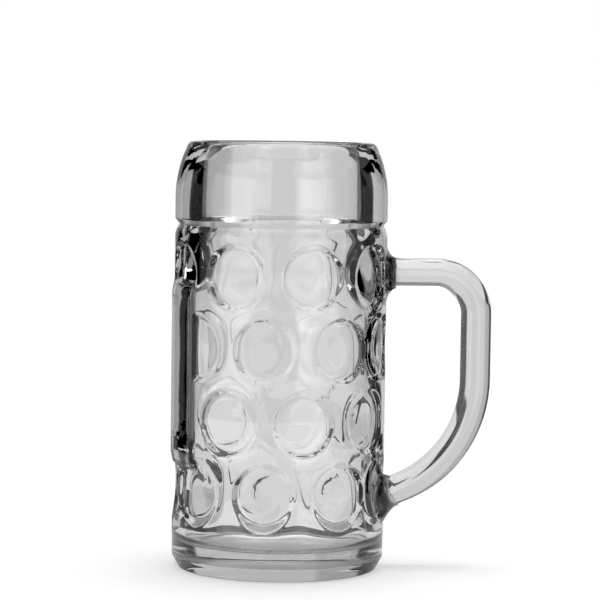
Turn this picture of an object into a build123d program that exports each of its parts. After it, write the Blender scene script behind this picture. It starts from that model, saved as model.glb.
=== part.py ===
from build123d import *
import os
from math import acos, cos, degrees, hypot, pi, radians, sin

# One-litre dimpled glass beer mug, in millimetres.
# The origin is the centre of the foot, +Z is up and the handle points along +X.
# Heights stack up from the foot: base ring, dimpled barrel, groove, drinking band.

# Glass wall
barrel_radius = 50.0  # outside of the barrel, on the webs between the eyes
wall = 6.0  # barrel wall between the eyes
floor_thickness = 12.5
floor_corner_radius = 5.0  # inside corner between the floor and the wall
swell_height = 3.0  # the wall stands in this far behind each eye
swell_radius = 14.0  # reach of that swelling
band_wall = 12.6  # thick glass behind the drinking band
neck_ease = 40.0  # height over which it thins to the barrel wall, around the top row
glass_density = 2.5e-6  # kg per cubic millimetre

# Foot and base ring
foot_radius = 46.6  # outer edge of the ring that touches the table
foot_ring_width = 8.0
foot_recess = 2.2  # rise of the hollow under the base
bevel_height = 6.0  # bevel between the foot and the base ring
bevel_bulge = 0.5

# Eyes: round shallow dimples in staggered rows, in pairs on both sides of the handle
eye_pairs = 4
eye_step = 42.5  # angle between neighbouring eyes of a row
row_starts = [17.5, 38.5, 17.5, 34.5]  # angle from the handle to the first eye, lowest row first
lowest_row_height = 39.3
row_pitch = 33.5
eye_face_radius = 13.6  # bottom of an eye
eye_rim_radius = 14.8  # edge of an eye at the barrel surface
eye_depth = 2.0
eye_curve = 100.0  # the bottom's radius around the barrel, so it is flatter than the barrel

# Shoulder, groove and drinking band
shoulder_rise = 16.5  # from the top row up to where the barrel starts to round in
shoulder_height = 6.0
groove_depth = 2.0
groove_height = 2.4
band_radius = 50.0
band_height = 36.3
band_straight = 10.3  # upright part of the band, below its curve
rim_radius = 43.6  # where the band's curve would meet the top of the rim
lip_round = 2.8  # rounding of the rim, outside and inside

# Decor panel: smooth raised field opposite the handle
panel_width = 56.0  # measured around the barrel
panel_bottom = 50.0
panel_top = 136.0
panel_rise = 1.1
panel_ramp = 5.0  # height of the slope at its upper and lower edge
panel_side_round = 0.9

# Handle: an oval rod bent in the XZ plane, flared at both roots
handle_thickness = 14.4  # in the plane of the handle
handle_depth = 15.0  # across that plane
finger_gap = 36.2  # from the barrel to the inner side of the grip
upper_bend_radius = 19.2  # of the rod's centre line
lower_bend_radius = 56.8
lower_root_height = 34.0
upper_flare_spread = 8.0
lower_flare_spread = 6.0
flare_length = 5.5
flare_lift = 0.5  # the flare's skirt starts this far above the barrel

# Derived places
row_heights = [lowest_row_height + row * row_pitch for row in range(len(row_starts))]
shoulder_bottom = row_heights[-1] + shoulder_rise
groove_bottom = shoulder_bottom + shoulder_height
band_bottom = groove_bottom + groove_height
mug_height = band_bottom + band_height
inner_radius = barrel_radius - wall
groove_radius = barrel_radius - groove_depth
neck_radius = band_radius - band_wall
ease_bottom = row_heights[-1] - neck_ease / 2
ease_top = row_heights[-1] + neck_ease / 2
ease_middle = ((inner_radius + neck_radius) / 2, row_heights[-1])
swell_sphere = (swell_radius**2 + swell_height**2) / (2 * swell_height)
root_end = barrel_radius - wall / 2  # the handle's rod ends inside the wall
upper_root_height = row_heights[-1]
grip_x = barrel_radius + finger_gap + handle_thickness / 2
panel_half_angle = degrees(panel_width / 2 / barrel_radius)
overcut = 5.0

os.makedirs("parts", exist_ok=True)


def eye_angles(row):
    """Angles of one row's eyes from the handle. The lowest row has one more, opposite."""
    one_side = [row_starts[row] + column * eye_step for column in range(eye_pairs)]
    opposite = [180] if row == 0 else []
    return one_side + [360 - angle for angle in one_side] + opposite


def eye_places():
    """Places of all eyes, without those under the decor panel."""
    places = []
    for row, height in enumerate(row_heights):
        for angle in eye_angles(row):
            beside_panel = abs(angle - 180) > panel_half_angle
            if beside_panel or not panel_bottom < height < panel_top:
                places.append(Location((0, 0, height), (0, 0, angle)))
    return places


def swell_places():
    """Centres of the spheres that make the wall stand in behind the eyes."""
    places = []
    for place in eye_places():
        top_row = place.position.Z > ease_bottom
        wall_radius = ease_middle[0] if top_row else inner_radius
        places.append(place * Location((wall_radius - swell_height + swell_sphere, 0, 0)))
    return places


# Cutter for one eye, on the +X side: a cone round its axis, cut off by the curve of its bottom
with BuildPart() as eye_cutter:
    eye_slope = (eye_rim_radius - eye_face_radius) / eye_depth
    eye_bottom = barrel_radius - eye_depth
    cone_start = eye_bottom - eye_depth
    with BuildSketch(Plane.XY):
        with BuildLine():
            Polyline(
                (cone_start, 0),
                (cone_start, eye_face_radius - eye_depth * eye_slope),
                (barrel_radius + overcut, eye_rim_radius + overcut * eye_slope),
                (barrel_radius + overcut, 0),
                close=True,
            )
        make_face()
    revolve(axis=Axis.X)
    with Locations((eye_bottom - eye_curve, 0, 0)):
        Cylinder(eye_curve, 2 * (eye_rim_radius + overcut), mode=Mode.SUBTRACT)

# Decor panel, from under the eyes to its raised face, with sloped and rounded edges
with BuildPart() as decor_panel:
    panel_start = radians(180 - panel_half_angle)
    panel_plane = Plane(
        origin=(0, 0, 0),
        x_dir=(cos(panel_start), sin(panel_start), 0),
        z_dir=(sin(panel_start), -cos(panel_start), 0),
    )
    panel_back = barrel_radius - eye_depth - wall / 4
    panel_face = barrel_radius + panel_rise
    with BuildSketch(panel_plane):
        with BuildLine():
            Polyline(
                (panel_back, panel_bottom),
                (barrel_radius, panel_bottom),
                (panel_face, panel_bottom + panel_ramp),
                (panel_face, panel_top - panel_ramp),
                (barrel_radius, panel_top),
                (panel_back, panel_top),
                close=True,
            )
        make_face()
    revolve(axis=Axis.Z, revolution_arc=2 * panel_half_angle)
    upright = decor_panel.edges().filter_by(Axis.Z)
    face_sides = upright.filter_by(lambda edge: hypot(edge.center().X, edge.center().Y) > barrel_radius)
    fillet(face_sides, panel_side_round)

# Inside of the mug, narrow in the neck and opened by the rim's rounding
with BuildPart() as inside:
    with BuildSketch(Plane.XZ):
        with BuildLine():
            Line((0, floor_thickness), (inner_radius - floor_corner_radius, floor_thickness))
            corner = JernArc(
                start=(inner_radius - floor_corner_radius, floor_thickness),
                tangent=(1, 0),
                radius=floor_corner_radius,
                arc_size=90,
            )
            Line(corner @ 1, (inner_radius, ease_bottom))
            lower_ease = TangentArc((inner_radius, ease_bottom), ease_middle, tangent=(0, 1))
            TangentArc(ease_middle, (neck_radius, ease_top), tangent=lower_ease % 1)
            Line((neck_radius, ease_top), (neck_radius, mug_height - lip_round))
            TangentArc(
                (neck_radius, mug_height - lip_round),
                (neck_radius + lip_round, mug_height),
                tangent=(0, 1),
            )
            Line((neck_radius + lip_round, mug_height), (neck_radius + lip_round, mug_height + overcut))
            Line((neck_radius + lip_round, mug_height + overcut), (0, mug_height + overcut))
            Line((0, mug_height + overcut), (0, floor_thickness))
        make_face()
    revolve(axis=Axis.Z)
    with Locations(*swell_places()):
        Sphere(swell_sphere, mode=Mode.SUBTRACT)

# Mug body: turned outside, eyes pressed in, decor panel, then the inside
with BuildPart() as mug_body:
    with BuildSketch(Plane.XZ) as body_section:
        with BuildLine():
            TangentArc((0, foot_recess), (foot_radius - foot_ring_width, 0), tangent=(1, 0))
            Line((foot_radius - foot_ring_width, 0), (foot_radius, 0))
            SagittaArc((foot_radius, 0), (barrel_radius, bevel_height), -bevel_bulge)
            Line((barrel_radius, bevel_height), (barrel_radius, shoulder_bottom))
            TangentArc(
                (barrel_radius, shoulder_bottom),
                (groove_radius, groove_bottom),
                tangent=(0, 1),
            )
            Line((groove_radius, groove_bottom), (band_radius, band_bottom))
            Line((band_radius, band_bottom), (band_radius, band_bottom + band_straight))
            TangentArc(
                (band_radius, band_bottom + band_straight),
                (rim_radius, mug_height),
                tangent=(0, 1),
            )
            Line((rim_radius, mug_height), (0, mug_height))
            Line((0, mug_height), (0, foot_recess))
        make_face()
        rim_corner = body_section.vertices().sort_by(Axis.Y)[-2:].sort_by(Axis.X)[-1]
        fillet(rim_corner, lip_round)
    revolve(axis=Axis.Z)
    with Locations(*eye_places()):
        add(eye_cutter.part, mode=Mode.SUBTRACT)
    add(decor_panel.part)
    add(inside.part, mode=Mode.SUBTRACT)
mug_body.part.label = "mug_body"
export_step(mug_body.part, "parts/mug_body.step")

# Handle: the rod's centre line leaves the upper root level, bends down to the grip
# and comes back to the lower root on one large arc
lower_centre_x = grip_x - lower_bend_radius
lower_turn = degrees(acos((root_end - lower_centre_x) / lower_bend_radius))
lower_centre_z = lower_root_height + lower_bend_radius * sin(radians(lower_turn))


def flared_root(height, spread):
    """Flared root about its own level axis: an elliptical sweep from the rod down to
    a skirt that runs into the wall at 45 degrees."""
    throat = handle_thickness / 2
    skirt = barrel_radius + flare_lift
    tip = barrel_radius + flare_length
    skirt_end = throat + spread + skirt - root_end
    with BuildPart() as root:
        with BuildSketch(Plane.XZ):
            with BuildLine():
                Line((tip, height), (root_end, height))
                Line((root_end, height), (root_end, height + skirt_end))
                Line((root_end, height + skirt_end), (skirt, height + throat + spread))
                EllipticalCenterArc(
                    (tip, height + throat + spread), tip - skirt, spread, start_angle=180, arc_size=90
                )
                Line((tip, height + throat), (tip, height))
            make_face()
        revolve(axis=Axis((0, 0, height), (1, 0, 0)))
    return root.part


upper_root = flared_root(upper_root_height, upper_flare_spread)
lower_root = flared_root(lower_root_height, lower_flare_spread)

with BuildPart() as handle:
    with BuildLine(Plane.XZ) as handle_line:
        upper_run = Line((root_end, upper_root_height), (grip_x - upper_bend_radius, upper_root_height))
        upper_bend = JernArc(upper_run @ 1, upper_run % 1, upper_bend_radius, -90)
        grip_run = Line(upper_bend @ 1, (grip_x, lower_centre_z))
        JernArc(grip_run @ 1, grip_run % 1, lower_bend_radius, -lower_turn)
    with BuildSketch(Plane.YZ.offset(root_end)):
        with Locations((0, upper_root_height)):
            Ellipse(handle_depth / 2, handle_thickness / 2)
    sweep(path=handle_line.line)
    add(upper_root)
    add(lower_root)
    add(mug_body.part, mode=Mode.SUBTRACT)
handle.part.label = "handle"
export_step(handle.part, "parts/handle.step")

brimful = inside.part.volume - pi * (neck_radius + lip_round) ** 2 * overcut
glass_volume = mug_body.part.volume + handle.part.volume
print(f"height {mug_height:.1f} mm, reach {grip_x + handle_thickness / 2:.1f} mm")
print(f"brimful {brimful / 1e6:.3f} litre, glass {glass_volume * glass_density:.2f} kg")
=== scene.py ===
"""Dresses the beer mug in clear glass and stands it in a bright studio."""

import logging
import math
from dataclasses import dataclass, field
from enum import Enum
from typing import Any, Optional, Union

import bmesh
import bpy
import numpy as np
from mathutils import Matrix, Vector


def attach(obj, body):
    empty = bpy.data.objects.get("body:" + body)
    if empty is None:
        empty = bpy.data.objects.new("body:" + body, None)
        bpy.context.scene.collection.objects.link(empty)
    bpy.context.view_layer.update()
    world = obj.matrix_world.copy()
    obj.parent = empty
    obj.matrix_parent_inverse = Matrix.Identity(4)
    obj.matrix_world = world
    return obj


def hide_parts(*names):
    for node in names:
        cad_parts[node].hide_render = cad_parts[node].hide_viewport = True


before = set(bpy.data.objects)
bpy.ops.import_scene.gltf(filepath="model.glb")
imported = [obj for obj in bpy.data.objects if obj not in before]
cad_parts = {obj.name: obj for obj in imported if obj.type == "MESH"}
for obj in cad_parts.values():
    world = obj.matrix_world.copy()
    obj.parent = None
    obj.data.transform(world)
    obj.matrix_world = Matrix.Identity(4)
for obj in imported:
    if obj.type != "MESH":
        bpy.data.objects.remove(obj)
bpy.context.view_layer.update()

MM = 0.001
MERGE_DISTANCE = 1e-6
UPRIGHT = (0.0, 0.0, 1.0)
ARC_STEP = math.radians(12.0)
FEWEST_ARC_STEPS = 3
FRAME_PIXELS = 600
SENSOR_WIDTH = 36.0
WHITE = (1.0, 1.0, 1.0, 1.0)
LOG = logging.getLogger("beer_mug")

Number = Union[float, "Value"]


class Operation(Enum):
    """What a Math node works out."""

    ADD = "ADD"
    SUBTRACT = "SUBTRACT"
    MULTIPLY = "MULTIPLY"
    POWER = "POWER"
    LESS_THAN = "LESS_THAN"
    GREATER_THAN = "GREATER_THAN"
    ARCTAN2 = "ARCTAN2"


class Value:
    """A shader socket that Python operators combine through Math nodes."""

    def __init__(self, graph: "Graph", socket: bpy.types.NodeSocket) -> None:
        """Keeps the socket and the graph that it belongs to."""
        self.graph = graph
        self.socket = socket

    def math(self, operation: Operation, first: Number, second: Number) -> "Value":
        """Adds one Math node.

        Args:
            operation: the node's operation.
            first: its first operand.
            second: its second operand.

        Returns:
            The node's result.
        """
        settings = {"operation": operation.value}
        return self.graph.add("ShaderNodeMath", settings, {0: first, 1: second})

    def __add__(self, other: Number) -> "Value":
        """Sum."""
        return self.math(Operation.ADD, self, other)

    def __radd__(self, other: Number) -> "Value":
        """Sum with a number on the left."""
        return self.math(Operation.ADD, other, self)

    def __sub__(self, other: Number) -> "Value":
        """Difference."""
        return self.math(Operation.SUBTRACT, self, other)

    def __rsub__(self, other: Number) -> "Value":
        """Difference from a number on the left."""
        return self.math(Operation.SUBTRACT, other, self)

    def __mul__(self, other: Number) -> "Value":
        """Product."""
        return self.math(Operation.MULTIPLY, self, other)

    def __rmul__(self, other: Number) -> "Value":
        """Product with a number on the left."""
        return self.math(Operation.MULTIPLY, other, self)

    def __pow__(self, other: Number) -> "Value":
        """Power."""
        return self.math(Operation.POWER, self, other)

    def __lt__(self, other: Number) -> "Value":
        """One where this is less than the other, else zero."""
        return self.math(Operation.LESS_THAN, self, other)

    def __gt__(self, other: Number) -> "Value":
        """One where this is more than the other, else zero."""
        return self.math(Operation.GREATER_THAN, self, other)


class Graph:
    """Node tree of one material or of the world."""

    def __init__(self, owner: Union[bpy.types.Material, bpy.types.World]) -> None:
        """Empties the owner's node tree and keeps it."""
        owner.use_nodes = True
        self.tree = owner.node_tree
        self.tree.nodes.clear()

    def add(
        self,
        kind: str,
        settings: Optional[dict[str, Any]] = None,
        inputs: Optional[dict[Union[str, int], Any]] = None,
        output: Union[str, int] = 0,
    ) -> Value:
        """Adds any node.

        Args:
            kind: the node's type.
            settings: properties set before the sockets.
            inputs: values or links by socket name or number.
            output: the socket to hand back.

        Returns:
            The chosen output.
        """
        node = self.tree.nodes.new(kind)
        for name, value in (settings or {}).items():
            if name == "stops":
                self.set_stops(node.color_ramp, value)
            else:
                setattr(node, name, value)
        for name, value in (inputs or {}).items():
            if isinstance(value, Value):
                self.tree.links.new(value.socket, node.inputs[name])
            else:
                node.inputs[name].default_value = value
        return Value(self, node.outputs[output] if len(node.outputs) else None)

    def set_stops(self, ramp: bpy.types.ColorRamp, stops: list[tuple[float, float]]) -> None:
        """Gives a ramp its grey stops.

        Args:
            ramp: of the node.
            stops: place and level of each stop.
        """
        for place, _ in stops[1:-1]:
            ramp.elements.new(place)
        for element, (place, level) in zip(ramp.elements, stops):
            element.position = place
            element.color = (level, level, level, 1.0)

    def axes(self, place: Value) -> list[Value]:
        """Coordinates x, y and z of a place."""
        node = self.add("ShaderNodeSeparateXYZ", None, {0: place}).socket.node
        return [Value(self, socket) for socket in node.outputs]

    def camera_ray(self) -> Value:
        """One for what the camera sees straight on, else zero."""
        return self.add("ShaderNodeLightPath", output="Is Camera Ray")


@dataclass(frozen=True)
class FusedRoot:
    """Place where the handle is melted onto the barrel.

    Attributes:
        height: of the root's level axis above the table, in millimetres.
        reach: radius of its footprint on the barrel, in millimetres.
    """

    height: float
    reach: float


@dataclass(frozen=True)
class ClearGlass:
    """Fire-polished clear glass, with the slow waves and the fine skin of hot glass.

    Attributes:
        refraction: index of refraction.
        tint: colour of the light that passes a surface.
        dullness: roughness of the whole surface.
        haze: roughness added where the surface is least clean.
        smear_size: length of the smears, in millimetres.
        smear_detail: octaves of the smears.
        smear_contrast: power that draws the smears together.
        wave_size: length of the slow waves, in millimetres.
        wave_depth: height of the slow waves, in millimetres.
        wave_detail: octaves of the slow waves.
        skin_size: length of the fine ripples, in millimetres.
        skin_depth: height of the fine ripples, in millimetres.
        skin_detail: octaves of the fine ripples.
        dimness: rate at which a metre of the glass takes up light.
        dim_grey: level of the grey that the glass dims towards.
        outside: radius that parts the barrel's outside from its inside, in millimetres.
        ground: roughness of the foot's underside.
        ground_radius: reach of the underside, in millimetres.
        ground_height: height that the underside stays below, in millimetres.
    """

    refraction: float = 1.5
    tint: tuple[float, float, float] = (0.985, 0.988, 0.988)
    dullness: float = 0.0
    haze: float = 0.012
    smear_size: float = 32.0
    smear_detail: float = 4.0
    smear_contrast: float = 3.0
    wave_size: float = 16.0
    wave_depth: float = 0.09
    wave_detail: float = 2.0
    skin_size: float = 3.0
    skin_depth: float = 0.004
    skin_detail: float = 1.0
    dimness: float = 2.5
    dim_grey: float = 0.5
    outside: float = 46.5
    ground: float = 0.3
    ground_radius: float = 46.0
    ground_height: float = 2.6

    def material(self, name: str, roots: tuple[FusedRoot, ...] = ()) -> bpy.types.Material:
        """Makes the glass, with its surface left out where two gobs melt into one.

        Args:
            name: the material's name.
            roots: the fused places.

        Returns:
            The material.
        """
        made = bpy.data.materials.new(name)
        graph = Graph(made)
        place = graph.add("ShaderNodeTexCoord", output="Object")
        waves = self.noise(graph, place, self.wave_size, self.wave_detail)
        skin = self.noise(graph, place, self.skin_size, self.skin_detail)
        relief = waves * (self.wave_depth * MM) + skin * (self.skin_depth * MM)
        bump = {"Height": relief, "Distance": 1.0, "Strength": 1.0}
        surface = graph.add(
            "ShaderNodeBsdfPrincipled",
            None,
            {
                "Base Color": (*self.tint, 1.0),
                "Transmission Weight": 1.0,
                "IOR": self.refraction,
                "Roughness": self.roughness(graph, place),
                "Normal": graph.add("ShaderNodeBump", None, bump),
            },
        )
        if roots:
            seam = graph.add("ShaderNodeBsdfTransparent")
            fused = self.fused(graph, place, roots)
            surface = graph.add("ShaderNodeMixShader", None, {0: fused, 1: surface, 2: seam})
        graph.add("ShaderNodeOutputMaterial", None, {"Surface": surface, "Volume": self.depth(graph)})
        return made

    def seam(self, name: str) -> bpy.types.Material:
        """Makes the fused face inside one lump of glass, where light passes straight on."""
        made = bpy.data.materials.new(name)
        graph = Graph(made)
        straight = graph.add("ShaderNodeBsdfTransparent")
        graph.add("ShaderNodeOutputMaterial", None, {"Surface": straight, "Volume": self.depth(graph)})
        return made

    def depth(self, graph: Graph) -> Value:
        """What the glass takes up of the light on its way through."""
        grey = (self.dim_grey, self.dim_grey, self.dim_grey, 1.0)
        density = self.dimness / (1 - self.dim_grey)
        return graph.add("ShaderNodeVolumeAbsorption", None, {"Color": grey, "Density": density})

    def roughness(self, graph: Graph, place: Value) -> Value:
        """Smears on the polished glass and the ground underside."""
        smears = self.noise(graph, place, self.smear_size, self.smear_detail) ** self.smear_contrast
        return self.dullness + self.haze * smears + self.ground * self.underside(graph, place)

    def noise(self, graph: Graph, place: Value, size: float, detail: float) -> Value:
        """Noise of that length in millimetres and that many octaves."""
        inputs = {"Vector": place, "Scale": 1 / (size * MM), "Detail": detail}
        return graph.add("ShaderNodeTexNoise", None, inputs)

    def underside(self, graph: Graph, place: Value) -> Value:
        """Mask of the foot's underside, which is ground and not polished."""
        x, y, z = graph.axes(place)
        return (x * x + y * y < (self.ground_radius * MM) ** 2) * (z < self.ground_height * MM)

    def fused(self, graph: Graph, place: Value, roots: tuple[FusedRoot, ...]) -> Value:
        """Mask of the fused places on the barrel's outside.

        Args:
            graph: the material's graph.
            place: object coordinates.
            roots: the fused places.

        Returns:
            One inside a root's footprint, else zero.
        """
        x, y, z = graph.axes(place)
        outside = (x * x + y * y > (self.outside * MM) ** 2) * (x > 0.0)
        inside_root = 0.0
        for root in roots:
            up = z - root.height * MM
            inside_root = inside_root + (y * y + up * up < (root.reach * MM) ** 2)
        return outside * inside_root


@dataclass
class Section:
    """Half section of a turned shape, drawn from corner to corner, in millimetres."""

    corners: list[tuple[float, float, float, float]] = field(default_factory=list)

    def to(self, radius: float, height: float, rounding: float = 0.0, step: float = 3.0) -> None:
        """Goes straight to a corner.

        Args:
            radius: of the corner.
            height: of the corner.
            rounding: radius that the corner is rounded with.
            step: longest step on the way.
        """
        self.corners.append((radius, height, rounding, step))

    def bow(self, radius: float, height: float, steps: int, rounding: float = 0.0) -> None:
        """Follows an arc that starts upright.

        Args:
            radius: of the arc's end.
            height: of the arc's end.
            steps: number of steps.
            rounding: radius that its end is rounded with.
        """
        old_radius, old_height = self.corners[-1][:2]
        across, up = old_radius - radius, height - old_height
        bend = (across**2 + up**2) / (2 * across)
        turn = math.atan2(up, bend - across)
        for index in range(1, steps + 1):
            angle = turn * index / steps
            self.to(
                old_radius - bend * (1 - math.cos(angle)),
                old_height + bend * math.sin(angle),
                rounding if index == steps else 0.0,
            )

    def sway(self, radius: float, height: float, steps: int) -> None:
        """Eases from one radius to another on two arcs that start and end upright.

        Args:
            radius: of the end.
            height: of the end.
            steps: number of steps on each arc.
        """
        old_radius, old_height = self.corners[-1][:2]
        across, up = (radius - old_radius) / 2, (height - old_height) / 2
        bend = (across**2 + up**2) / (2 * across)
        for index in range(1, 2 * steps + 1):
            share = index / steps
            along = share if index <= steps else 2 - share
            moved = bend - math.copysign(math.sqrt(bend**2 - (up * along) ** 2), bend)
            self.to(
                old_radius + moved if index <= steps else radius - moved,
                old_height + up * share,
            )

    def points(self) -> list[Vector]:
        """Rounds the corners and divides the runs.

        Returns:
            Points (radius, height) along the section.
        """
        places: list[Vector] = []
        last = len(self.corners) - 1
        for index, (radius, height, rounding, step) in enumerate(self.corners):
            turn = [Vector((radius, height))]
            if rounding and 0 < index < last:
                before = Vector(self.corners[index - 1][:2])
                after = Vector(self.corners[index + 1][:2])
                turn = self.rounded(before, turn[0], after, rounding)
            if places:
                places += self.run(places[-1], turn[0], step)
            places += turn
        return places

    def rounded(self, before: Vector, corner: Vector, after: Vector, rounding: float) -> list[Vector]:
        """Points of the arc that rounds a corner.

        Args:
            before: the corner before.
            corner: the corner.
            after: the corner after.
            rounding: the arc's radius.

        Returns:
            The arc's points.
        """
        back, ahead = (before - corner).normalized(), (after - corner).normalized()
        half = back.angle(ahead) / 2
        start = corner + back * (rounding / math.tan(half))
        end = corner + ahead * (rounding / math.tan(half))
        centre = corner + (back + ahead).normalized() * (rounding / math.sin(half))
        steps = max(FEWEST_ARC_STEPS, math.ceil((math.pi - 2 * half) / ARC_STEP))
        first, last = (start - centre).normalized(), (end - centre).normalized()
        spokes = [first.slerp(last, index / steps) for index in range(steps + 1)]
        return [centre + rounding * spoke for spoke in spokes]

    def run(self, start: Vector, end: Vector, step: float) -> list[Vector]:
        """Points between two places, the ends left out.

        Args:
            start: the first place.
            end: the last place.
            step: longest step.

        Returns:
            The points between.
        """
        count = max(1, math.ceil((end - start).length / step))
        return [start.lerp(end, index / count) for index in range(1, count)]


def wrapped(angle: np.ndarray) -> np.ndarray:
    """Angles brought to half a turn either way."""
    return np.arctan2(np.sin(angle), np.cos(angle))


@dataclass
class MugBody:
    """The body: foot, dimpled barrel, groove, drinking band and rim, in millimetres and degrees."""

    node: str = "mug_body"
    height: float = 201.0
    barrel_radius: float = 50.0
    inner_radius: float = 44.0
    floor_thickness: float = 12.5
    floor_corner: float = 5.0
    foot_radius: float = 46.6
    foot_round: float = 1.0
    foot_ring_width: float = 8.0
    foot_ring_round: float = 0.8
    foot_recess: float = 2.2
    bevel_height: float = 6.0
    bevel_round: float = 3.0
    eye_pairs: int = 4
    eye_step: float = 42.5
    row_starts: tuple[float, ...] = (17.5, 38.5, 17.5, 34.5)
    row_heights: tuple[float, ...] = (39.3, 72.8, 106.3, 139.8)
    eye_face: float = 13.2
    eye_rim: float = 15.2
    eye_depth: float = 2.0
    eye_curve: float = 100.0
    eye_polish: float = 0.3
    eye_sector: float = 60.0
    inner_swell: float = 3.0
    inner_swell_reach: float = 12.7
    shoulder_bottom: float = 156.3
    groove_bottom: float = 162.3
    groove_depth: float = 2.0
    groove_round: float = 0.3
    band_bottom: float = 164.7
    band_round: float = 0.7
    band_straight: float = 10.3
    neck_radius: float = 37.4
    neck_bottom: float = 159.8
    neck_ramp: float = 40.0
    rim_radius: float = 43.6
    lip_round: float = 2.8
    panel_width: float = 56.0
    panel_bottom: float = 50.0
    panel_top: float = 136.0
    panel_rise: float = 1.1
    panel_ramp: float = 5.0
    panel_side: float = 1.3
    panel_drop: float = 4.0
    panel_ease: float = 10.0
    segments: int = 300
    recess_steps: int = 5
    shoulder_steps: int = 8
    rim_steps: int = 9
    neck_steps: int = 10
    fine_step: float = 0.98
    edge_step: float = 0.8
    band_step: float = 1.5
    floor_step: float = 8.0
    slack: float = 0.5

    @property
    def panel_half_angle(self) -> float:
        """Half of the decor panel's angle around the barrel."""
        return self.panel_width / 2 / self.barrel_radius

    def eye_angles(self, row: int) -> list[float]:
        """Angles of one row's eyes from the handle, in degrees.

        Args:
            row: counted from the lowest.

        Returns:
            The angles. The lowest row has one more eye, opposite.
        """
        one_side = [self.row_starts[row] + column * self.eye_step for column in range(self.eye_pairs)]
        opposite = [180.0] if row == 0 else []
        return one_side + [360.0 - angle for angle in one_side] + opposite

    def eye_places(self) -> list[tuple[float, float]]:
        """Angle and height of every eye.

        Returns:
            Angles from the handle in radians, with heights in millimetres.
        """
        places = []
        for row, height in enumerate(self.row_heights):
            for angle in map(math.radians, self.eye_angles(row)):
                under_panel = abs(angle - math.pi) < self.panel_half_angle
                if not (under_panel and self.panel_bottom < height < self.panel_top):
                    places.append((angle, height))
        return places

    def section(self) -> Section:
        """Half section of the body before pressing.

        Returns:
            The section, from the axis under the base round to the axis on the floor.
        """
        line = Section()
        ring_inside = self.foot_radius - self.foot_ring_width
        for index in range(self.recess_steps):
            share = index / self.recess_steps
            line.to(ring_inside * share, self.foot_recess * (1 - share**2))
        line.to(ring_inside, 0.0, self.foot_ring_round)
        line.to(self.foot_radius, 0.0, self.foot_round)
        line.to(self.barrel_radius, self.bevel_height, self.bevel_round, self.edge_step)
        line.to(self.barrel_radius, self.shoulder_bottom, 0.0, self.fine_step)
        groove_radius = self.barrel_radius - self.groove_depth
        line.bow(groove_radius, self.groove_bottom, self.shoulder_steps, self.groove_round)
        line.to(self.barrel_radius, self.band_bottom, self.band_round, self.edge_step)
        band_end = self.band_bottom + self.band_straight
        line.to(self.barrel_radius, band_end, 0.0, self.band_step)
        line.bow(self.rim_radius, self.height, self.rim_steps, self.lip_round)
        line.to(self.neck_radius, self.height, self.lip_round)
        line.to(self.neck_radius, self.neck_bottom)
        line.sway(self.inner_radius, self.neck_bottom - self.neck_ramp, self.neck_steps)
        line.to(self.inner_radius, self.floor_thickness, self.floor_corner)
        line.to(0.0, self.floor_thickness, 0.0, self.floor_step)
        return line

    def polished(self, first: Union[float, np.ndarray], second: np.ndarray) -> np.ndarray:
        """Greater of two measures, with the edge between them rounded by the fire."""
        return self.eye_polish * np.logaddexp(first / self.eye_polish, second / self.eye_polish)

    def pressed(self, angle: np.ndarray, height: np.ndarray, radius: np.ndarray) -> np.ndarray:
        """Outside of the barrel with its eyes pressed in and its panel raised.

        Args:
            angle: from the handle, in radians.
            height: above the table, in millimetres.
            radius: of the turned barrel, in millimetres.

        Returns:
            The finished radius.
        """
        limit = np.full_like(radius, np.inf)
        slope = self.eye_depth / (self.eye_rim - self.eye_face)
        centre = self.barrel_radius - self.eye_depth - self.eye_curve
        for eye_angle, eye_height in self.eye_places():
            turn = wrapped(angle - eye_angle)
            off = np.hypot(radius * np.sin(turn), height - eye_height)
            reach = self.eye_curve + slope * self.polished(0.0, off - self.eye_face)
            bottom = centre * np.cos(turn) + np.sqrt(reach**2 - (centre * np.sin(turn)) ** 2)
            near = np.abs(turn) < math.radians(self.eye_sector)
            limit = np.where(near, np.minimum(limit, bottom), limit)
        return self.panelled(angle, height, -self.polished(-radius, -limit))

    def panelled(self, angle: np.ndarray, height: np.ndarray, radius: np.ndarray) -> np.ndarray:
        """Raises the decor panel over the pressed barrel.

        Args:
            angle: from the handle, in radians.
            height: above the table, in millimetres.
            radius: of the pressed barrel.

        Returns:
            The radius with the panel.
        """
        beside, beyond = self.past_panel(angle, height)
        rise = self.panel_rise * np.clip(-beyond / self.panel_ramp, 0.0, 1.0)
        past = np.clip(beside / self.panel_side, 0.0, 1.0) + np.clip(beyond / self.panel_side, 0.0, 1.0)
        return self.polished(radius, self.barrel_radius + rise - self.panel_drop * past)

    def past_panel(self, angle: np.ndarray, height: np.ndarray) -> tuple[np.ndarray, np.ndarray]:
        """How far a place lies past the decor panel's sides and past its ends.

        Args:
            angle: from the handle, in radians.
            height: above the table, in millimetres.

        Returns:
            Both distances, below nought inside the panel.
        """
        beside = (np.abs(wrapped(angle - math.pi)) - self.panel_half_angle) * self.barrel_radius
        return beside, np.maximum(self.panel_bottom - height, height - self.panel_top)

    def swollen(self, angle: np.ndarray, height: np.ndarray, radius: np.ndarray) -> np.ndarray:
        """Inside of the barrel, which swells in a little behind each eye.

        Args:
            angle: from the handle, in radians.
            height: above the table, in millimetres.
            radius: of the turned inside.

        Returns:
            The finished radius.
        """
        swell = np.zeros_like(radius)
        for eye_angle, eye_height in self.eye_places():
            aside = self.inner_radius * wrapped(angle - eye_angle)
            off = np.hypot(aside, height - eye_height) / self.inner_swell_reach
            swell += np.exp(-(off**2))
        return radius - self.inner_swell * np.minimum(swell, 1.0) * self.off_panel(angle, height)

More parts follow.
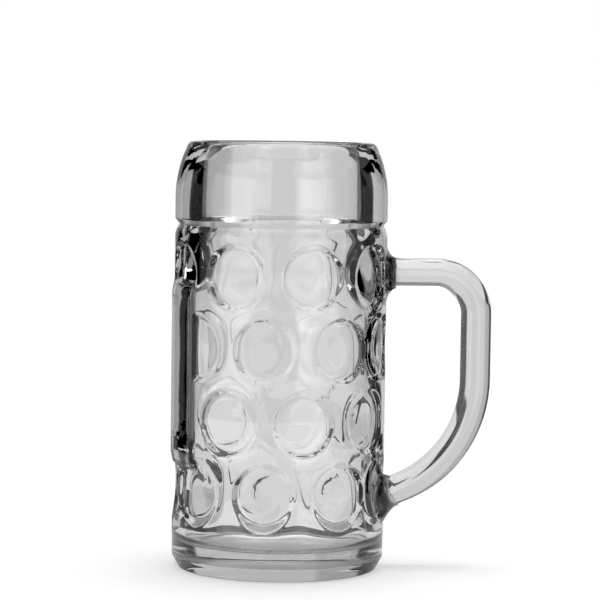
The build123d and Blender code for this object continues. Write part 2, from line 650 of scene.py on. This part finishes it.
    def off_panel(self, angle: np.ndarray, height: np.ndarray) -> np.ndarray:
        """Share of the swelling that is left beside the decor panel, where the wall is plain.

        Args:
            angle: from the handle, in radians.
            height: above the table, in millimetres.

        Returns:
            Nought behind the panel, one away from it.
        """
        past = np.maximum(*self.past_panel(angle, height))
        return np.clip(0.5 + past / self.panel_ease, 0.0, 1.0)

    def surface_x(self, y: float, z: float, rounds: int = 3) -> float:
        """Finds how far towards the handle the barrel's outside reaches.

        Args:
            y: to the side of the handle's plane, in millimetres.
            z: above the table, in millimetres.
            rounds: of coming closer to the pressed surface.

        Returns:
            The reach there, in millimetres.
        """
        x = math.sqrt(self.barrel_radius**2 - y**2)
        for _ in range(rounds):
            angle = np.array([math.atan2(y, x)])
            radius = self.pressed(angle, np.array([z]), np.array([self.barrel_radius]))[0]
            x = math.sqrt(radius**2 - y**2)
        return x

    def build(self) -> bpy.types.Object:
        """Turns the section, presses the eyes and raises the panel.

        Returns:
            The body as a new object.
        """
        shape = bmesh.new()
        section = self.section().points()
        points = [shape.verts.new((radius * MM, 0.0, height * MM)) for radius, height in section]
        edges = [shape.edges.new(pair) for pair in zip(points, points[1:])]
        bmesh.ops.spin(
            shape,
            geom=points + edges,
            axis=UPRIGHT,
            angle=2 * math.pi,
            steps=self.segments,
            use_merge=True,
        )
        bmesh.ops.remove_doubles(shape, verts=shape.verts, dist=MERGE_DISTANCE)
        bmesh.ops.recalc_face_normals(shape, faces=shape.faces)
        piece = new_piece(self.node + "_glass", shape)
        self.sculpt(piece.data)
        return piece

    def sculpt(self, mesh: bpy.types.Mesh) -> None:
        """Moves the wall's vertices to the pressed shape.

        Args:
            mesh: the turned body.
        """
        flat = np.empty(3 * len(mesh.vertices), np.float32)
        mesh.vertices.foreach_get("co", flat)
        points = flat.reshape(-1, 3).astype(float) / MM
        angle = np.arctan2(points[:, 1], points[:, 0])
        height = points[:, 2]
        radius = np.hypot(points[:, 0], points[:, 1])
        outside = radius > self.barrel_radius - self.slack
        outside &= height > self.bevel_height + self.bevel_round
        outside &= height < self.shoulder_bottom + self.slack
        inside = radius > self.neck_radius - self.slack
        inside &= radius < self.inner_radius + self.slack
        inside &= height > self.floor_thickness + self.floor_corner / 2
        inside &= height < self.groove_bottom
        for wall, shaped in ((outside, self.pressed), (inside, self.swollen)):
            moved = shaped(angle[wall], height[wall], radius[wall])
            points[wall, :2] *= (moved / radius[wall])[:, None]
        mesh.vertices.foreach_set("co", (points * MM).astype(np.float32).ravel())
        mesh.update()


@dataclass
class Handle:
    """Bent rod with flared roots, in millimetres."""

    body: MugBody
    node: str = "handle"
    thickness: float = 14.4
    depth: float = 15.0
    finger_gap: float = 36.2
    upper_height: float = 139.8
    upper_bend: float = 19.2
    lower_bend: float = 56.8
    lower_height: float = 34.0
    rod_end: float = 46.8
    upper_spread: float = 8.0
    lower_spread: float = 6.0
    flare_length: float = 5.5
    flare_rings: int = 12
    seam_rings: int = 4
    around: int = 72
    step: float = 1.6

    @property
    def roots(self) -> tuple[FusedRoot, FusedRoot]:
        """Footprints of the upper and the lower root."""
        throat = self.thickness / 2
        return (
            FusedRoot(self.upper_height, throat + self.upper_spread),
            FusedRoot(self.lower_height, throat + self.lower_spread),
        )

    def centre_line(self) -> list[tuple[Vector, Vector]]:
        """Points along the rod between its two flares.

        Returns:
            Points and directions in the handle's plane, as (x, z).
        """
        barrel = self.body.barrel_radius
        tip = barrel + self.flare_length
        grip = barrel + self.finger_gap + self.thickness / 2
        centre = Vector((grip - self.upper_bend, self.upper_height - self.upper_bend))
        low_x = grip - self.lower_bend
        low_z = self.lower_height + math.sqrt(self.lower_bend**2 - (self.rod_end - low_x) ** 2)
        low_centre = Vector((low_x, low_z))
        low_turn = math.acos((tip - low_x) / self.lower_bend)
        outward, downward = Vector((1.0, 0.0)), Vector((0.0, -1.0))
        line: list[tuple[Vector, Vector]] = []
        for share in self.shares(centre.x - tip):
            line.append((Vector((tip + (centre.x - tip) * share, self.upper_height)), outward))
        for share in self.shares(self.upper_bend * math.pi / 2):
            turn = math.pi / 2 * share
            out = Vector((math.sin(turn), math.cos(turn)))
            line.append((centre + self.upper_bend * out, Vector((out.y, -out.x))))
        for share in self.shares(centre.y - low_z):
            line.append((Vector((grip, centre.y + (low_z - centre.y) * share)), downward))
        for share in (*self.shares(self.lower_bend * low_turn), 1.0):
            turn = low_turn * share
            out = Vector((math.cos(turn), -math.sin(turn)))
            line.append((low_centre + self.lower_bend * out, Vector((out.y, -out.x))))
        return line

    def shares(self, length: float) -> list[float]:
        """Even shares of a stretch from nought up to, and without, one."""
        count = math.ceil(length / self.step)
        return [index / count for index in range(count)]

    def build(self) -> bpy.types.Object:
        """Bridges rings along the rod and closes both roots on the barrel.

        Returns:
            The handle as a new object.
        """
        shape = bmesh.new()
        line = self.centre_line()
        upper, lower = self.roots
        rings = [self.rod_ring(shape, place) for place in line]
        for first, second in zip(rings, rings[1:]):
            bmesh.ops.bridge_loops(shape, edges=first + second)
        self.add_root(shape, rings[0], line[0], upper)
        self.add_root(shape, rings[-1], line[-1], lower)
        bmesh.ops.recalc_face_normals(shape, faces=shape.faces)
        return new_piece(self.node + "_glass", shape)

    def rod_ring(
        self,
        shape: bmesh.types.BMesh,
        at: tuple[Vector, Vector],
    ) -> list[bmesh.types.BMEdge]:
        """One oval ring across the rod.

        Args:
            shape: the mesh being made.
            at: centre in the handle's plane, and the rod's direction there.

        Returns:
            The ring's edges.
        """
        point, direction = at
        along = Vector((direction.x, 0.0, direction.y))
        across = Vector((-direction.y, 0.0, direction.x))
        side = Vector((0.0, 1.0, 0.0))
        place = Matrix.Translation(Vector((point.x, 0.0, point.y)) * MM)
        turn = Matrix((across, side, along)).transposed().to_4x4()
        size = Matrix.Diagonal((self.thickness / 2 * MM, self.depth / 2 * MM, 1.0, 1.0))
        return self.ring(shape, place @ turn @ size)

    def ring(self, shape: bmesh.types.BMesh, matrix: Matrix) -> list[bmesh.types.BMEdge]:
        """Edges of a new unit circle, placed by a matrix."""
        made = bmesh.ops.create_circle(shape, segments=self.around, radius=1.0, matrix=matrix)
        return list({edge for vert in made["verts"] for edge in vert.link_edges})

    def add_root(
        self,
        shape: bmesh.types.BMesh,
        rod: list[bmesh.types.BMEdge],
        end: tuple[Vector, Vector],
        root: FusedRoot,
    ) -> None:
        """Flares the rod's end out onto the barrel and closes it with the fused face.

        Args:
            shape: the mesh being made.
            rod: the rod's last ring.
            end: the rod's last point and direction.
            root: the footprint.
        """
        throat = self.thickness / 2
        spread = root.reach - throat
        lean = end[1].y / end[1].x
        last = rod
        for index in range(1, self.flare_rings + 1):
            angle = math.pi / 2 * index / self.flare_rings
            grown = 1 - math.cos(angle)
            wide = self.depth / 2 + (root.reach - self.depth / 2) * grown
            lift = self.flare_length * (1 - math.sin(angle))
            middle = end[0].y + (root.height - end[0].y) * grown
            fresh = self.flare_ring(shape, (wide, throat + spread * grown), middle, lift, grown, lean)
            bmesh.ops.bridge_loops(shape, edges=last + fresh)
            last = fresh
        for edge in last:
            edge.smooth = False
        for index in range(1, self.seam_rings):
            half = root.reach * (1 - index / self.seam_rings)
            fresh = self.flare_ring(shape, (half, half), root.height, 0.0, 1.0, 0.0)
            for face in bmesh.ops.bridge_loops(shape, edges=last + fresh)["faces"]:
                face.material_index = 1
            last = fresh
        for face in bmesh.ops.contextual_create(shape, geom=last)["faces"]:
            face.material_index = 1

    def flare_ring(
        self,
        shape: bmesh.types.BMesh,
        half: tuple[float, float],
        middle: float,
        lift: float,
        hug: float,
        lean: float,
    ) -> list[bmesh.types.BMEdge]:
        """One ring of a root, which hugs the barrel the more the nearer it is.

        Args:
            shape: the mesh being made.
            half: half of its width and of its height.
            middle: height of its centre.
            lift: distance from the barrel.
            hug: share of the barrel's own shape in the ring.
            lean: rise of the rod over its run.

        Returns:
            The ring's edges.
        """
        place = Matrix.Translation(Vector((0.0, 0.0, middle)) * MM)
        turn = Matrix(((0.0, 0.0, 1.0), (0.0, 1.0, 0.0), (1.0, 0.0, 0.0))).to_4x4()
        size = Matrix.Diagonal((half[1] * MM, half[0] * MM, 1.0, 1.0))
        edges = self.ring(shape, place @ turn @ size)
        for vert in {vert for edge in edges for vert in edge.verts}:
            y, z = vert.co.y / MM, vert.co.z / MM
            upright = self.body.barrel_radius - lean * (z - middle)
            vert.co.x = (lift + upright + (self.body.surface_x(y, z) - upright) * hug) * MM
        return edges


@dataclass(frozen=True)
class TentRow:
    """One height of the tent's wall.

    Attributes:
        name: of its object.
        bottom: lower edge, in millimetres.
        top: upper edge, in millimetres.
        levels: azimuth in degrees and light there, as a share of the brightest cloth.
    """

    name: str
    bottom: float
    top: float
    levels: tuple[tuple[float, float], ...]


@dataclass(frozen=True)
class BlackFelt:
    """Black felt on the floor beside the mug, which gives the glass its dark edges.

    Attributes:
        name: of its object.
        start: azimuth of its first edge, in degrees.
        end: azimuth of its last edge, in degrees.
        near: distance of its inner edge from the mug's axis, in millimetres.
        far: distance of its outer edge, in millimetres.
        lift: height above the floor, in millimetres.
    """

    name: str
    start: float
    end: float
    near: float
    far: float
    lift: float = 0.2


@dataclass
class LightTent:
    """White cloth and black felt round and over the mug, seen only in the glass.

    Attributes:
        radius: of the tent, in millimetres.
        brightest: light of the brightest cloth.
        rows: heights of the wall, from the floor up.
        roof_level: light of the roof, as a share of the brightest.
        felts: black felt inside the tent.
        steps: number of straight pieces in a turn of cloth.
    """

    radius: float = 550.0
    brightest: float = 3.0
    rows: tuple[TentRow, ...] = (
        TentRow(
            "light_tent_low",
            0.0,
            350.0,
            (
                (-180.0, 0.2),
                (-173.0, 0.2),
                (-171.0, 0.14),
                (-150.0, 0.14),
                (-147.0, 0.0),
                (-100.0, 0.0),
                (-96.0, 0.17),
                (-84.0, 0.33),
                (-80.0, 0.87),
                (-36.0, 0.87),
                (-33.0, 0.33),
                (10.0, 0.3),
                (14.0, 0.85),
                (33.0, 0.8),
                (36.0, 0.5),
                (56.0, 0.4),
                (60.0, 0.27),
                (84.0, 0.27),
                (92.0, 0.04),
                (100.0, 0.0),
                (137.0, 0.0),
                (140.0, 0.2),
                (180.0, 0.2),
            ),
        ),
        TentRow(
            "light_tent_middle",
            350.0,
            600.0,
            (
                (-180.0, 0.06),
                (-140.0, 0.04),
                (-95.0, 0.27),
                (-60.0, 0.37),
                (0.0, 0.3),
                (60.0, 0.32),
                (95.0, 0.23),
                (130.0, 0.08),
                (180.0, 0.06),
            ),
        ),
        TentRow("light_tent_high", 600.0, 900.0, ((-180.0, 0.67), (180.0, 0.67))),
    )
    roof_level: float = 0.9
    felts: tuple[BlackFelt, ...] = (
        BlackFelt("black_felt_left", -166.0, -100.0, 430.0, 550.0),
        BlackFelt("black_felt_side", -166.0, -148.0, 52.0, 430.0),
        BlackFelt("black_felt_right", 100.0, 137.0, 300.0, 550.0),
        BlackFelt("black_felt_far", 137.0, 152.0, 200.0, 550.0),
        BlackFelt("black_felt_back", 138.0, 194.0, 52.0, 100.0),
        BlackFelt("black_felt_corner", 141.0, 151.0, 100.0, 150.0),
    )
    steps: int = 120

    def build(self) -> None:
        """Spins the rows, the roof and the felt and gives them their light."""
        for row in self.rows:
            edge = (Vector((0.0, -self.radius, row.bottom)), Vector((0.0, -self.radius, row.top)))
            self.add_cloth(row.name, edge, row.levels)
        roof = self.rows[-1].top
        edge = (Vector((0.0, 0.0, roof)), Vector((0.0, -self.radius, roof)))
        self.add_cloth("light_tent_roof", edge, self.even(self.roof_level))
        for felt in self.felts:
            start = math.radians(felt.start)
            out = Vector((math.sin(start), -math.cos(start), 0.0))
            up = Vector((0.0, 0.0, felt.lift))
            edge = (felt.near * out + up, felt.far * out + up)
            self.add_cloth(felt.name, edge, self.even(0.0), felt.end - felt.start)

    def even(self, level: float) -> tuple[tuple[float, float], ...]:
        """The same light at every azimuth."""
        return ((-180.0, level), (180.0, level))

    def add_cloth(
        self,
        name: str,
        edge: tuple[Vector, Vector],
        levels: tuple[tuple[float, float], ...],
        turn: float = 360.0,
    ) -> None:
        """Spins one edge of cloth round the mug.

        Args:
            name: of the object.
            edge: its ends, in millimetres.
            levels: azimuth and light.
            turn: angle of the spin, in degrees.
        """
        shape = bmesh.new()
        ends = [shape.verts.new(end * MM) for end in edge]
        bmesh.ops.spin(
            shape,
            geom=[*ends, shape.edges.new(ends)],
            axis=UPRIGHT,
            angle=math.radians(turn),
            steps=self.steps,
        )
        bmesh.ops.remove_doubles(shape, verts=shape.verts, dist=MERGE_DISTANCE)
        cloth = new_piece(name, shape)
        cloth.data.materials.append(self.material(name, levels))
        cloth.visible_camera = False
        cloth.visible_diffuse = False
        cloth.visible_shadow = False

    def material(self, name: str, levels: tuple[tuple[float, float], ...]) -> bpy.types.Material:
        """Cloth and felt by azimuth.

        Args:
            name: of the material.
            levels: azimuth and light.

        Returns:
            The material.
        """
        made = bpy.data.materials.new(name)
        made.cycles.emission_sampling = "NONE"
        graph = Graph(made)
        x, y, _ = graph.axes(graph.add("ShaderNodeTexCoord", output="Object"))
        azimuth = x.math(Operation.ARCTAN2, x, y * -1.0)
        turned = azimuth * (0.5 / math.pi) + 0.5
        stops = [(turn / 360.0 + 0.5, level) for turn, level in levels]
        level = graph.add("ShaderNodeValToRGB", {"stops": stops}, {"Fac": turned})
        light = graph.add("ShaderNodeEmission", None, {"Color": level, "Strength": self.brightest})
        graph.add("ShaderNodeOutputMaterial", None, {"Surface": light})
        return made


@dataclass
class Studio:
    """Floor, light and camera.

    Attributes:
        azimuth: of the camera, from the handle's square view, in degrees.
        distance: of the camera from the mug's axis, in millimetres.
        eye_height: of the camera above the table, in millimetres.
        focal_pixels: focal length, in pixels of the picture.
        pitch: of the camera, downwards, in degrees.
        axis_offset: of the mug's axis from the middle of the picture, in pixels.
        roll: of the camera, in degrees.
        near_clip: nearest distance that the camera sees, in metres.
        far_clip: farthest distance that the camera sees, in metres.
        room_level: light of the room on the mug.
        key_level: light of the key on the floor.
        key_softness: width of the key, in degrees.
        key_lean: of the key to the right and to the back, in degrees.
        floor_colour: grey of the floor.
        floor_glow: light that the floor adds in the glass.
        floor_white: level of the floor in the picture, away from the shadow.
        floor_size: length of the floor's sides, in metres.
        floor_drop: depth of the floor under the foot, in millimetres.
        tent: what the glass shows around the mug.
    """

    azimuth: float = -4.7
    distance: float = 1304.0
    eye_height: float = 222.0
    focal_pixels: float = 2770.0
    pitch: float = 4.18
    axis_offset: float = 19.65
    roll: float = 0.83
    near_clip: float = 0.05
    far_clip: float = 100.0
    room_level: float = 0.6
    key_level: float = 0.25
    key_softness: float = 25.0
    key_lean: tuple[float, float] = (2.5, 4.5)
    floor_colour: float = 0.7
    floor_glow: float = 0.02
    floor_white: float = 1.02
    floor_size: float = 40.0
    floor_drop: float = 0.05
    tent: LightTent = field(default_factory=LightTent)

    def build(self) -> None:
        """Sets up everything around the mug."""
        self.set_world()
        self.add_key()
        self.add_floor()
        self.tent.build()
        self.add_camera()
        bpy.context.scene.view_settings.view_transform = "Standard"

    def set_world(self) -> None:
        """White for the camera and a little less for the light that falls on the mug."""
        world = bpy.data.worlds.new("studio")
        bpy.context.scene.world = world
        graph = Graph(world)
        level = self.room_level + graph.camera_ray() * (1.0 - self.room_level)
        light = graph.add("ShaderNodeBackground", None, {"Color": WHITE, "Strength": level})
        graph.add("ShaderNodeOutputWorld", None, {"Surface": light})

    def add_key(self) -> None:
        """Soft light from high up, a little behind and to the right, for the shadow."""
        lamp = bpy.data.lights.new("key", "SUN")
        lamp.energy = math.pi * self.key_level / self.floor_colour
        lamp.angle = math.radians(self.key_softness)
        key = bpy.data.objects.new("key", lamp)
        bpy.context.scene.collection.objects.link(key)
        across, back = map(math.radians, self.key_lean)
        key.rotation_euler = (-back, across, 0.0)
        key.visible_glossy = False
        key.visible_transmission = False

    def add_floor(self) -> None:
        """Pale floor that keeps the mug's shadow."""
        shape = bmesh.new()
        bmesh.ops.create_grid(shape, x_segments=1, y_segments=1, size=self.floor_size / 2)
        bmesh.ops.translate(shape, verts=shape.verts, vec=(0.0, 0.0, -self.floor_drop * MM))
        floor = new_piece("floor", shape)
        material = bpy.data.materials.new("floor")
        graph = Graph(material)
        colour = (self.floor_colour, self.floor_colour, self.floor_colour, 1.0)
        paper = graph.add("ShaderNodeBsdfDiffuse", None, {"Color": colour})
        lit = self.floor_colour * self.room_level + self.key_level
        glow = self.floor_glow + graph.camera_ray() * (self.floor_white - lit - self.floor_glow)
        light = graph.add("ShaderNodeEmission", None, {"Color": WHITE, "Strength": glow})
        both = graph.add("ShaderNodeAddShader", None, {0: paper, 1: light})
        graph.add("ShaderNodeOutputMaterial", None, {"Surface": both})
        floor.data.materials.append(material)

    def add_camera(self) -> None:
        """Camera at the picture's viewing angle."""
        camera = bpy.data.objects.new("camera", bpy.data.cameras.new("camera"))
        bpy.context.scene.collection.objects.link(camera)
        bpy.context.scene.camera = camera
        camera.data.sensor_width = SENSOR_WIDTH
        camera.data.lens = SENSOR_WIDTH * self.focal_pixels / FRAME_PIXELS
        camera.data.clip_start = self.near_clip
        camera.data.clip_end = self.far_clip
        azimuth = math.radians(self.azimuth)
        place = Vector((math.sin(azimuth), -math.cos(azimuth), 0.0)) * self.distance
        place.z = self.eye_height
        heading = azimuth - math.atan(self.axis_offset / self.focal_pixels)
        pitch = math.radians(self.pitch)
        ahead = Vector((-math.sin(heading), math.cos(heading), 0.0)) * math.cos(pitch)
        ahead.z = -math.sin(pitch)
        level_right = ahead.cross(Vector(UPRIGHT)).normalized()
        level_up = level_right.cross(ahead)
        roll = math.radians(self.roll)
        right = level_right * math.cos(roll) + level_up * math.sin(roll)
        up = level_up * math.cos(roll) - level_right * math.sin(roll)
        turn = Matrix((right, up, -ahead)).transposed().to_4x4()
        camera.matrix_world = Matrix.Translation(place * MM) @ turn


def new_piece(name: str, shape: bmesh.types.BMesh) -> bpy.types.Object:
    """Makes a smooth-shaded object from a finished shape.

    Args:
        name: of the object.
        shape: its mesh, which is freed.

    Returns:
        The object, at the origin.
    """
    mesh = bpy.data.meshes.new(name)
    for face in shape.faces:
        face.smooth = True
    shape.to_mesh(mesh)
    shape.free()
    piece = bpy.data.objects.new(name, mesh)
    bpy.context.scene.collection.objects.link(piece)
    return piece


def dress(piece: bpy.types.Object, node: str, materials: list[bpy.types.Material]) -> None:
    """Lets a glass piece stand for its solid.

    Args:
        piece: the glass piece.
        node: the solid that it replaces.
        materials: its finishes.
    """
    for material in materials:
        piece.data.materials.append(material)
    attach(piece, "root")
    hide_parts(node)
    LOG.info("%s: %d vertices", piece.name, len(piece.data.vertices))


def main() -> None:
    """Builds the mug and the studio."""
    logging.basicConfig(level=logging.INFO)
    body = MugBody()
    handle = Handle(body)
    pressed_glass = ClearGlass()
    drawn_glass = ClearGlass(dullness=0.09, wave_depth=0.03)
    body_finish = pressed_glass.material("clear_glass_body", handle.roots)
    dress(body.build(), body.node, [body_finish])
    handle_finish = drawn_glass.material("clear_glass_handle")
    dress(handle.build(), handle.node, [handle_finish, drawn_glass.seam("fused_seam")])
    Studio().build()


if __name__ == "__main__":
    main()
